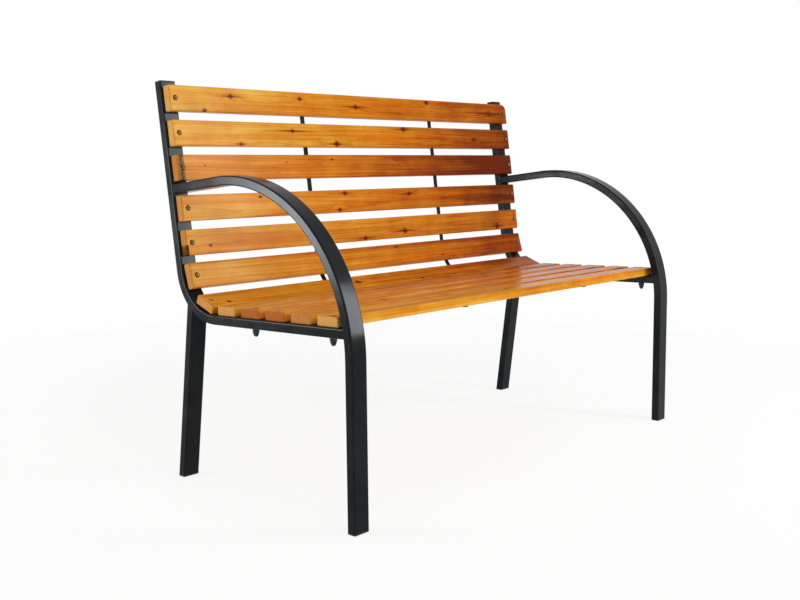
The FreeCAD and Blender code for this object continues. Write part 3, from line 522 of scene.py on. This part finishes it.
def trunk(points, seed, pith_across, pith_below, knots):
    """Ring, knot place and clearness at points (along, across, up) of a board.

    ring is the distance from the pith in metres, swollen round each knot by a bell
    curve. The place is where the point lies from the nearest branch, along and across in
    radii of that branch, then the reach of its streaks in radii. A branch is a cone from
    the pith to the face. Distances along the board count for less than half of those
    across it, because a knot disturbs the grain further that way. Clearness falls to
    zero half way to the next knot, so that no false knot appears where the nearest one
    changes.
    """
    rng = np.random.default_rng(seed)
    along, across, up = points.T
    pith_y = pith_across / 1000 + wander(rng, along, PITH_SWAY)
    pith_z = -pith_below / 1000 + wander(rng, along, PITH_HEAVE)
    ring = np.hypot(across - pith_y, up - pith_z)
    nearest = np.full(len(points), 9.0)
    second = nearest.copy()
    place = np.full((len(points), 3), 40.0)
    face, below = BOARD_THICKNESS / 2, pith_below / 1000
    for spot, side, radius, reach in knots:
        run = along - spot + rng.uniform(*LEAN) * (face - up)
        depth = np.clip((up + below) / (face + below), 0.2, 1)
        rise = across - (side * depth + pith_across / 1000 * (1 - depth))
        size = radius * (AT_PITH + (1 - AT_PITH) * depth)
        gap = np.hypot(run * 0.4, rise)
        closer = gap < nearest
        second = np.where(closer, nearest, np.minimum(second, gap))
        nearest = np.where(closer, gap, nearest)
        here = np.stack([run / size, rise / size, reach / size], 1)
        place[closer] = here[closer]
        bell = np.hypot(run * 0.3, rise) / (size * SWELL_REACH)
        ring += size * SWELLING * np.exp(-(bell**2))
    return ring, place, np.clip((second - nearest) / KNOT_GAP, 0, 1)


middle_ring = trunk(np.zeros((1, 3)), 11, 14, 46, [])[0][0]
print("from the pith to the middle of a board:", round(float(middle_ring), 4))


# %% Tone with painted shade, and scorch marks
def tone_and_shade(along, left, right):
    """Depth of colour from the left end to the right one, a little faster at the right: the
    wood's own tone and a painted shade of the right ends.
    """
    t = along / BOARD_LENGTH + 0.5
    return left + (right - left) * (0.65 * t + 0.35 * t**2)


def scorch(points, name):
    """Mask of charred marks at the ends of some boards: bell curves along the board."""
    along, across, up = points.T

    def bell(place, width):
        return np.exp(-(((along - place) / width) ** 2))

    if name == "back_slat_3":
        left_end = 0.86 * bell(-0.590, 0.014) + 0.25 * bell(-0.565, 0.012)
        return left_end + 0.5 * bell(0.59, 0.02)
    if name == "back_slat_5":
        return 0.9 * bell(-0.598, 0.007) * np.clip(-across / 0.01 + 0.3, 0, 1)
    if name in ("back_slat_2", "back_slat_4", "back_slat_6"):
        return 0.5 * bell(0.588, 0.016)
    return np.zeros(len(points))


print("tone in the middle of a board from 0 to 1:", round(tone_and_shade(0.0, 0.0, 1.0), 3))

# %% [markdown]
# ## Varnished pine
#
# Pine shows pale early wood and thin, dark late wood in every ring. Close to, the fibres
# draw fine lines along the board. One number, the depth, goes from pale to deep, and each
# feature adds its share to it before a single colour ramp turns it into colour. Blending
# a colour for every feature would soon go muddy.

# %% Rings, fibres and clouds
pine, graph, shader = new_material("varnished_pine")
place = graph.object_place()


def attribute(name, output="Fac"):
    return graph.add("ShaderNodeAttribute", attribute_name=name).outputs[output]


def grain_noise(scale, detail, roughness=0.5, offset=(0.0, 0.0, 0.0)):
    """Noise with its own scale on each axis: a small first one draws it out in lines."""
    inputs = {"Vector": place, "Scale": scale, "Location": offset}
    stretched = graph.add("ShaderNodeMapping", inputs).outputs["Vector"]
    return graph.noise(stretched, 1.0, detail, roughness)


drift = grain_noise((5.0, 80.0, 80.0), 2.0)
ring_mm = graph.plus(graph.times(attribute("ring"), 1000.0), graph.times(drift, 3.5))
wide_bands = graph.add(
    "ShaderNodeTexNoise", {"W": ring_mm, "Scale": 0.15, "Detail": 2.0}, noise_dimensions="1D"
).outputs["Fac"]
turns = graph.plus(graph.times(ring_mm, 0.36), wide_bands)
late = graph.math("POWER", graph.math("FRACT", turns), 3.0)
fibre = grain_noise((6.0, 620.0, 620.0), 4.0, 0.62)
broad = grain_noise((1.5, 70.0, 70.0), 4.0, 0.66)
clouds = grain_noise((13.0, 17.0, 17.0), 3.0, 0.6)
flecks = graph.ramp(grain_noise((28.0, 900.0, 900.0), 1.0), 0.62, 0.74)
print("nodes for the grain:", len(graph.tree.nodes))

# %% [markdown]
# ### Knots
#
# A knot is the end of a branch: a dark, cracked disc with a darker rim, and streaks of
# resin that run out of it along the board. Modelling discs would leave seams, so the
# shader draws them from the branch's own coordinates that the mesh carries. A ragged
# edge comes from noise on the sideways coordinate.

# %% Knots and their streaks
branch = attribute("knot_place", "Vector")
run, rise, reach = graph.add("ShaderNodeSeparateXYZ", {0: branch}).outputs
clear = attribute("clear")
ragged = graph.minus(graph.noise(place, 420.0, 3.0, 0.6), 0.5)
from_axis = graph.math("ABSOLUTE", run)
sideways = graph.plus(rise, graph.times(ragged, 0.8))

# The distance from the middle of the knot is one at its rim, and far off if not clear.
disc = graph.add("ShaderNodeCombineXYZ", {0: graph.times(from_axis, 0.95), 1: sideways})
knot = graph.vector_math("LENGTH", disc.outputs[0])
knot = graph.plus(knot, graph.times(graph.minus(1.0, clear), 9.0))

# A streak is a narrow bell curve sideways that dies away along the board.
squared = graph.math("POWER", graph.math("ABSOLUTE", sideways), 2.0)
thin = graph.math("EXPONENT", graph.times(squared, -6.0))
fade = graph.math("EXPONENT", graph.math("DIVIDE", graph.times(from_axis, -2.2), reach))
streak = graph.times(thin, fade, clear)
halo = graph.ramp(knot, 1.9, 0.9, 0.0, 0.4)  # darker wood round the knot
print("nodes with the knots:", len(graph.tree.nodes))

# %% [markdown]
# ### Colour
#
# The depth starts from the tone of the board at that place. That tone holds the wood's own
# tone and a painted shade that deepens towards the right end. Rings, fibres, clouds,
# flecks and knots each add their distance from their own middle value, times a weight. The
# ramp then runs from a pale honey to a deep red brown, as varnished pine does.

# %% Depth of colour, and the colours
depth = attribute("tone_and_shade")
for source, middle, weight in (
    (wide_bands, 0.5, 0.45), (late, 0.25, 0.16), (fibre, 0.5, 0.55), (broad, 0.5, 0.85),
    (clouds, 0.5, 0.60), (flecks, 0.0, 0.22), (streak, 0.0, 1.5),
):
    depth = graph.plus(depth, graph.times(graph.minus(source, middle), weight))
depth = graph.math("MULTIPLY", graph.plus(depth, halo), 0.72, clamp=True)

TONES = (  # colour of the varnished wood from pale to deep
    (0.00, (0.80, 0.46, 0.085)), (0.18, (0.72, 0.34, 0.036)), (0.36, (0.60, 0.225, 0.012)),
    (0.54, (0.48, 0.138, 0.006)), (0.72, (0.31, 0.062, 0.003)), (1.00, (0.12, 0.018, 0.001)),
)
tones = graph.add("ShaderNodeValToRGB", {"Fac": depth})
while len(tones.color_ramp.elements) < len(TONES):
    tones.color_ramp.elements.new(0.5)
for stop, (position, color) in zip(tones.color_ramp.elements, TONES):
    stop.position, stop.color = position, (*color, 1.0)

# Strips of the board lean to yellow or to red, and a reddish board blushes as a whole.
yellow = grain_noise((2.2, 45.0, 45.0), 2.0, offset=(3.7, 1.3, 0.0))
cast = graph.mix(graph.ramp(yellow, 0.36, 0.64), (1.0, 0.88, 0.7), (1.0, 1.13, 1.2))
blush = graph.mix(attribute("end_tone"), (1.0, 1.0, 1.0), (1.0, 0.86, 1.35))
wood = graph.mix(1.0, tones.outputs["Color"], cast, "MULTIPLY")
wood = graph.mix(1.0, wood, blush, "MULTIPLY")
print("colours from pale to deep:", len(TONES))

# %% The heart and the rim of a knot
KNOT_RIM = (0.045, 0.008, 0.001)
crack = graph.ramp(grain_noise((160.0, 700.0, 700.0), 2.0), 0.4, 0.62)
heart = graph.mix(crack, (0.05, 0.008, 0.001), (0.15, 0.022, 0.002))
heart = graph.mix(graph.ramp(knot, 0.35, 0.85), heart, (0.24, 0.045, 0.005))
wood = graph.mix(graph.ramp(knot, 1.15, 0.75), wood, heart)
rim = graph.times(graph.ramp(knot, 0.5, 0.72), graph.ramp(knot, 0.95, 0.74))
wood = graph.mix(graph.times(rim, 0.6), wood, KNOT_RIM)
print("nodes with the hearts:", len(graph.tree.nodes))

# %% [markdown]
# ### Sawn ends and scorch marks
#
# End grain soaks up the finish, so it is duller and redder, with open pores. The boards
# end at a known place along X, so a ramp on that coordinate finds the ends. Some ends
# carry scorch marks: black specks that thin out along the board.

# %% Sawn ends
END_FROM, END_TO = 0.5978, 0.5998  # from the middle of the bench
SAND, RED_BROWN, LATE_END = (0.66, 0.36, 0.11), (0.36, 0.090, 0.018), (0.17, 0.040, 0.008)
CHARRED = (0.012, 0.008, 0.006)

x_only = graph.add("ShaderNodeSeparateXYZ", {0: place}).outputs["X"]
end = graph.ramp(graph.math("ABSOLUTE", x_only), END_FROM, END_TO)
open_end = graph.mix(attribute("end_tone"), SAND, RED_BROWN)
open_end = graph.mix(graph.times(late, 0.7), open_end, LATE_END)
pores = graph.ramp(graph.noise(place, 460.0, 4.0, 0.75), 0.36, 0.64, 0.45, 1.3)
open_end = graph.mix(1.0, open_end, pores, "MULTIPLY")
wood = graph.mix(graph.times(end, 0.88), wood, open_end)

marks = attribute("scorch")
char = graph.plus(marks, graph.minus(graph.noise(place, 420.0, 4.0, 0.7), 0.5))
char = graph.times(graph.ramp(char, 0.5, 0.95), graph.ramp(marks, 0.02, 0.3))
wood = graph.mix(char, wood, CHARRED)
print("nodes with the ends:", len(graph.tree.nodes))

# %% [markdown]
# ### Varnish
#
# The varnish is a clear skin of its own over rougher wood. The coat of the Principled
# BSDF is made for that. Its reflection is kept low and soft, because brushed varnish on
# pine is never a mirror, and the sawn ends have almost none of it. Fibres, late wood and
# knots stand out by a tenth of a millimetre or so, too little for geometry.

# %% Varnish and relief
COAT, END_COAT_LOSS = 0.8, 0.65
relief = graph.plus(graph.times(fibre, 0.7), graph.times(late, 0.5))
relief = graph.plus(relief, graph.times(graph.ramp(knot, 1.3, 0.9), 1.2))
bare_rough = graph.ramp(fibre, 0.3, 0.7, 0.42, 0.56)
graph.feed(shader, {
    "Base Color": wood,
    "Roughness": graph.plus(bare_rough, graph.times(end, 0.25)),
    "Coat Weight": graph.minus(COAT, graph.times(end, END_COAT_LOSS)),
    "Coat Roughness": 0.2,
    "Coat IOR": 1.12,
    "Specular IOR Level": 0.0,
    "Normal": graph.bump(relief, 0.00007),
})
print("nodes in the pine:", len(graph.tree.nodes))

# %% [markdown]
# ### Boards in place
#
# Each board is worked out flat, then turned to the slope of the back, the bend or the
# seat, and moved to the middle of the solid that it stands for. Rings and knots are read
# from the flat board, and every noise has one scale for Y and Z, so the grain runs along
# a board at any turn about X.


# %% Boards in place
def turned(points, tilt, centre):
    """Points turned by tilt degrees about X, then moved to centre."""
    c, s = math.cos(math.radians(tilt)), math.sin(math.radians(tilt))
    turn = np.array([[1, 0, 0], [0, c, -s], [0, s, c]])
    return points @ turn.T + np.array(centre)


def middle_of(node):
    low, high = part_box(node)
    return (np.array(low) + np.array(high)) / 2


def make_board(name, tilt, seed, left, right, pith_across, pith_below, knots):
    """One board with its grain, in place of its plain solid."""
    grid = board_surface(knots, rounded_corner=name == "back_slat_1")
    piece = build_piece(name + "_board", [turned(grid, tilt, middle_of(name))], pine)
    local = grid.reshape(-1, 3)
    ring, knot_place, clear = trunk(local, seed, pith_across, pith_below, knots)
    for label, values in (
        ("ring", ring), ("knot_place", knot_place), ("clear", clear),
        ("tone_and_shade", tone_and_shade(local[:, 0], left, right)), ("scorch", scorch(local, name)),
        ("end_tone", np.full(len(local), END_TONES[name])),
    ):
        store(piece, label, values)
    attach(piece, "root")
    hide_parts(name)


for name, values in BOARDS.items():
    make_board(name, *values)
print("boards:", len(BOARDS))

# %% [markdown]
# ## Screw heads
#
# The slats are held by wide, flat-topped screws with a cross recess. A recess could be
# cut with a Boolean modifier, but that leaves thin, ragged faces. Here a head is a disc
# whose height is worked out over a polar grid: a shallow dome with a thin rim, less the
# cross. The shank goes on into the board, so the piece is closed.

# %% Zinc of the screw heads, with painted shade on the rim and in the recess
zinc, graph, shader = new_material("zinc_screw")
painted_rim_shade = graph.add("ShaderNodeAttribute", attribute_name="rim").outputs["Fac"]
stain = graph.ramp(graph.noise(graph.object_place(), 900.0, 3.0, 0.6), 0.35, 0.65)
plated = graph.mix(stain, (0.60, 0.34, 0.15), (0.34, 0.18, 0.07))
graph.feed(shader, {
    # The rim and the recess get a near black, non-metallic colour: a painted shade round the
    # head and in the cross.
    "Base Color": graph.mix(painted_rim_shade, plated, (0.006, 0.004, 0.003)),
    "Metallic": graph.minus(0.3, graph.times(painted_rim_shade, 0.3)),
    "Roughness": graph.ramp(stain, 0.0, 1.0, 0.3, 0.5),
    "IOR": 1.15,
})
print("nodes in the zinc:", len(graph.tree.nodes))

# %% A head with a cross recess
HEAD_LIP = 0.0008
ARM_LONG, ARM_HALF, RECESS = 0.0030, 0.0008, 0.0018
ARM_WALL, ARM_SLOPE = 0.00022, 0.0011  # softness of a recess at its sides and at its tip
FINE_TO, COARSE_FROM = 0.0034, 0.0038  # close rings over the recess, wider ones outside
SHADE_FROM, SHADE_BLEND = 0.62, 0.06  # where the plated top ends and the painted shade of the rim begins, in shares of the radius


def screw_surface(spin, radius, rise, shank, length):
    """Rings of points from the middle of the head, over its rim and down the shank.

    The height is a dome that falls with the fourth power of the radius. The recess is
    the larger of two crossed bars, each a soft box across and a soft slope to its tip.
    The second result is a painted shade: 1 on the rim and in the recess, where shade falls,
    and 0 on the plated top.
    """
    around = np.linspace(0, 2 * math.pi, 64, endpoint=False)
    fine, coarse = np.linspace(0.00008, FINE_TO, 22), np.linspace(COARSE_FROM, radius, 8)
    radii = np.concatenate([fine, coarse])
    r, a = np.meshgrid(radii, around, indexing="ij")
    x, y = r * np.cos(a), r * np.sin(a)
    c, s = math.cos(spin), math.sin(spin)
    u, v = x * c + y * s, y * c - x * s

    def bar(p, q):
        half = ARM_HALF * (1.25 - np.abs(p) / ARM_LONG * 0.3)
        wide = np.clip((half - np.abs(q)) / ARM_WALL + 0.5, 0, 1)
        return wide * np.clip((ARM_LONG - np.abs(p)) / ARM_SLOPE, 0, 1)

    cross = np.maximum(bar(u, v), bar(v, u))
    lip = min(HEAD_LIP, rise * 0.4)
    top = lip + (rise - lip) * (1 - (r / radius) ** 4)
    rings = [np.stack([x, y, top - RECESS * cross], 2)]
    for wide, height in (
        (radius, 0.0), (shank, -0.00005), (shank, 0.002 - length), (shank * 0.2, -length),
    ):
        edge = np.stack([np.cos(around) * wide, np.sin(around) * wide, 0 * around + height], 1)
        rings.append(edge[None])
    outside = np.clip((r / radius - SHADE_FROM) / SHADE_BLEND, 0, 1)
    dark = np.maximum(outside, np.clip(cross * 2.5, 0, 1))
    return np.concatenate(rings), np.concatenate([dark.ravel(), np.ones(4 * len(around))])


print("rings, points in a ring:", screw_surface(0, 0.006, 0.002, 0.002, 0.03)[0].shape[:2])

# %% Screws and bolts in place
SIDES = {"left": -0.585, "right": 0.585}  # the middle of each side frame along X
BACK_ROW = [name for name in BOARDS if name.startswith("back")]
SCREWED = ["seat_slat_1", "seat_slat_2", "seat_slat_4", "seat_slat_5"]
BOLTED = ["seat_slat_3", "seat_slat_6"]
# group: (slats, first seed, radius, rise, shank radius, length), in metres
HEADS = {
    "back_screws": (BACK_ROW, 0, 0.00575, 0.0022, 0.0021, 0.0275),
    "seat_screws": (SCREWED, 5, 0.0048, 0.0003, 0.0021, 0.0275),
    "seat_bolts": (BOLTED, 9, 0.0062, 0.0004, 0.0039, 0.0515),
}


def make_screws(node, side_x, slats, seed, *sizes):
    """All the screws of one node: each stands on its slat's outer face."""
    rng = np.random.default_rng(seed)
    grids, masks = [], []
    for name in slats:
        tilt = BOARDS[name][0]
        local, dark = screw_surface(rng.uniform(0, 1.5), *sizes)
        centre = turned(np.array([0, 0, BOARD_THICKNESS / 2]), tilt, middle_of(name))
        centre[0] = side_x
        grids.append(turned(local, tilt, centre))
        masks.append(dark)
    piece = build_piece(node + "_cross_heads", grids, zinc, inward=True)
    # The rim attribute holds the painted shade of the rim and the recess.
    store(piece, "rim", np.concatenate(masks))
    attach(piece, "root")
    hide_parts(node)


for step, (side, x) in enumerate(SIDES.items()):
    for group, (slats, first_seed, *sizes) in HEADS.items():
        make_screws(f"{side}_{group}", x, slats, first_seed + step, *sizes)
print("screw groups made:", len(SIDES) * len(HEADS))

# %% [markdown]
# ## Weld beads
#
# Where one tube ends on another, a bead of weld runs across the joint, between the outer
# faces that were ground flush. A curve with a round bevel would be too even: a bead is a
# short rope of overlapping puddles. So its radius rises and falls along it, once for each
# puddle, and the powder coat softens the valleys.

# %% A bead across a joint
BEAD_HALF = 0.0185  # short of the tube's faces, so that they stay ground flush
BEAD_RADIUS, PUDDLE = 0.0021, 0.0021
BEAD_TIP = (0.0002, 0.0006, 0.0012)  # rings that close the round tip


def bead_surface(middle, y, z, seed):
    """A closed rope along X about the point (middle, y, z).

    The radius is a half ellipse at the two ends and swells by an eighth with the size of
    a sine along the bead, whose phase leans back at the sides as a puddle's rim does.
    """
    rng = np.random.default_rng(seed)
    around = np.linspace(0, 2 * math.pi, 14, endpoint=False)
    length = 2 * BEAD_HALF
    tip = np.array(BEAD_TIP)
    s = np.concatenate([tip, np.linspace(0.002, length - 0.002, 110), length - tip[::-1]])
    t, a = np.meshgrid(s, around, indexing="ij")
    phase = (t + 0.0006 * np.cos(2 * a)) / PUDDLE * 2 * math.pi + np.sin(t * 400) * 0.8
    taper = np.sqrt(np.clip(np.minimum(t, length - t) / 0.0024, 0, 1))
    swell = 1 + 0.13 * np.sin(phase) + 0.05 * rng.normal(size=(len(s), 1))
    r = BEAD_RADIUS * taper * swell
    return np.stack([middle - BEAD_HALF + t, y + r * np.cos(a), z + r * np.sin(a)], 2)


print("rings, points in a ring:", bead_surface(0, 0, 0, 0).shape[:2])

# %% Beads on both side frames
# The corners (y, z) in metres where two tubes meet.
JOINTS = (
    (0.2429, 0.6405), (0.2396, 0.6202),  # above and below the arm, on the upright
    (-0.2637, 0.3895), (-0.2675, 0.3695),  # above and below the rail, on the front leg
)
for side, middle in SIDES.items():
    beads = [bead_surface(middle, y, z, seed) for seed, (y, z) in enumerate(JOINTS)]
    piece = build_piece(side + "_weld_beads", beads, powder_coat)
    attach(piece, "root")
print("beads on each frame:", len(JOINTS))

# %% [markdown]
# ## Floor, backdrop and light
#
# A pale sweep surrounds the bench. The floor and the world show white to the camera and
# to glossy surfaces through the Light Path node, so no lamp has to be turned up for the
# background. Near the bench a little of the floor's own shading shows, which seats its
# feet.
#
# Black paint shows only what it mirrors, so the lamps are shapes as much as lights. A
# tall soft box at the right front mirrors in the varnish near the left ends of the boards
# and on the bend of the near arm. A low panel at the left rear mirrors on the outer sides
# of the frames. A weak fill at the left front opens the shadows under the seat.


# %% Floor and world
def white_to_camera(graph):
    """One for rays from the camera, off gloss or through glass, zero for the rest."""
    path = graph.add("ShaderNodeLightPath").outputs
    seen = graph.math("MAXIMUM", path["Is Camera Ray"], path["Is Glossy Ray"])
    return graph.math("MAXIMUM", seen, path["Is Transmission Ray"])


NEAR_WHITE, NEAR, FAR = 0.86, 0.9, 2.6  # whiteness near the bench, and where it changes
WORLD_LIGHT = 0.62  # strength of the world where it only lights

floor_material, graph, shader = new_material("pale_floor")
graph.feed(shader, {"Base Color": (0.8, 0.8, 0.8, 1.0), "Roughness": 0.9})
glow = graph.add("ShaderNodeEmission", {"Color": (1, 1, 1, 1), "Strength": 1.0}).outputs[0]
away = graph.vector_math("LENGTH", graph.object_place())
amount = graph.times(white_to_camera(graph), graph.ramp(away, NEAR, FAR, NEAR_WHITE, 1.0))
blend = graph.add("ShaderNodeMixShader", {0: amount, 1: shader.outputs[0], 2: glow})
output = floor_material.node_tree.nodes["Material Output"]
graph.feed(output, {"Surface": blend.outputs[0]})

corners = np.array([[-14, -14, 0], [14, -14, 0], [14, 14, 0], [-14, 14, 0]], float)
floor = build_mesh("floor", corners, [[0, 1, 2, 3]])
floor.data.materials.append(floor_material)

world = bpy.data.worlds.new("studio")
bpy.context.scene.world = world
world.use_nodes = True
graph = Graph(world.node_tree)
strength = graph.ramp(white_to_camera(graph), 0.0, 1.0, WORLD_LIGHT, 1.0)
background = world.node_tree.nodes["Background"]
graph.feed(background, {"Color": (1.0, 1.0, 1.0, 1.0), "Strength": strength})
print("stage ready")


# %% Lamps
def soft_lamp(name, place, target, width, height, watts):
    """A large area lamp at place that looks at target."""
    data = bpy.data.lights.new(name, "AREA")
    data.shape, data.size, data.size_y, data.energy = "RECTANGLE", width, height, watts
    lamp = bpy.data.objects.new(name, data)
    bpy.context.scene.collection.objects.link(lamp)
    aim = (Vector(target) - Vector(place)).to_track_quat("-Z", "Y")
    lamp.matrix_world = Matrix.Translation(place) @ aim.to_matrix().to_4x4()


soft_lamp("right_front_box", (1.28, -1.98, 1.2), (-0.3, 0.1, 0.6), 0.46, 1.3, 36)
soft_lamp("left_rear_panel", (-2.48, 1.71, 0.5), (-0.6, -0.1, 0.55), 0.8, 0.7, 44)
soft_lamp("left_front_fill", (-2.2, -3.4, 2.4), (0.0, 0.0, 0.4), 2.4, 1.8, 22)
bpy.context.scene.view_settings.view_transform = "Standard"
